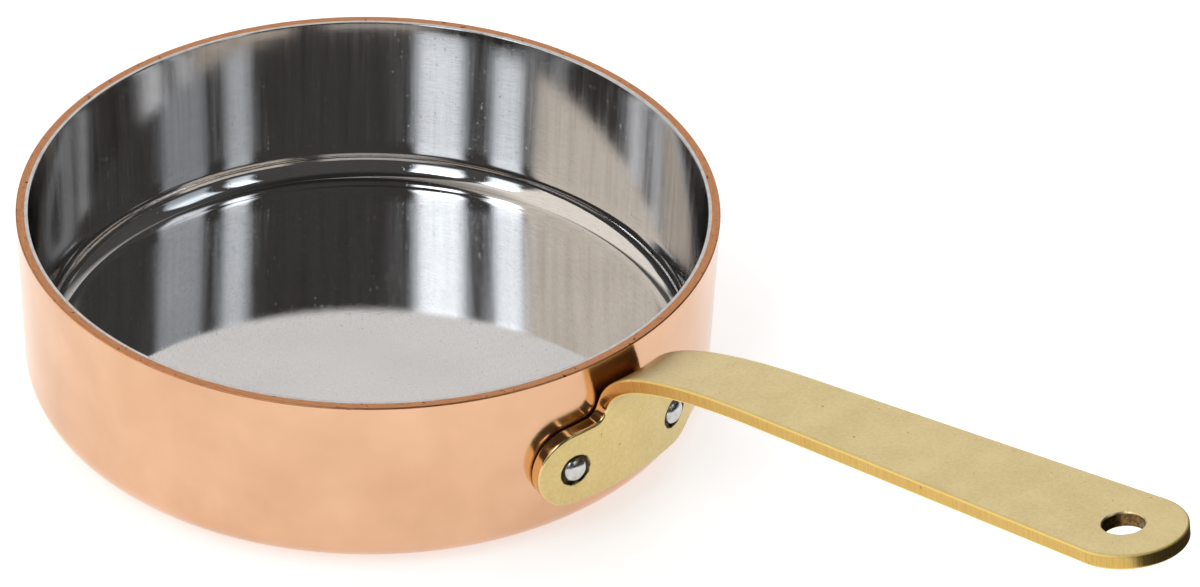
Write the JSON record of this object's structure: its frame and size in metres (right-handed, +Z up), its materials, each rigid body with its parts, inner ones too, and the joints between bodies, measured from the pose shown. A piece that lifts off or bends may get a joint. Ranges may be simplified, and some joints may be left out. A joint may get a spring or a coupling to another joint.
{
  "type": "saucepan",
  "caption": "Small straight-sided copper saucepan with a bright metal lining and a riveted flat brass bar handle that ends in a hanging hole.",
  "frame": {"origin": "centre of the flat base, on the surface the pan stands on", "axes": "+Z up, +X out along the handle, symmetric about the XZ plane"},
  "size_m": [0.2878, 0.144, 0.0668],
  "materials": {
    "copper": "polished copper with faint hand-polishing marks",
    "lining": "polished, with fine turning and rubbing marks",
    "brass": "satin faces, ground edges",
    "rivet": "hammered and polished"
  },
  "bodies": {
    "root": {"copper_body": "copper", "steel_lining": "lining", "brass_handle": "brass", "rivet_left": "rivet", "rivet_right": "rivet"}
  },
  "joints": []
}
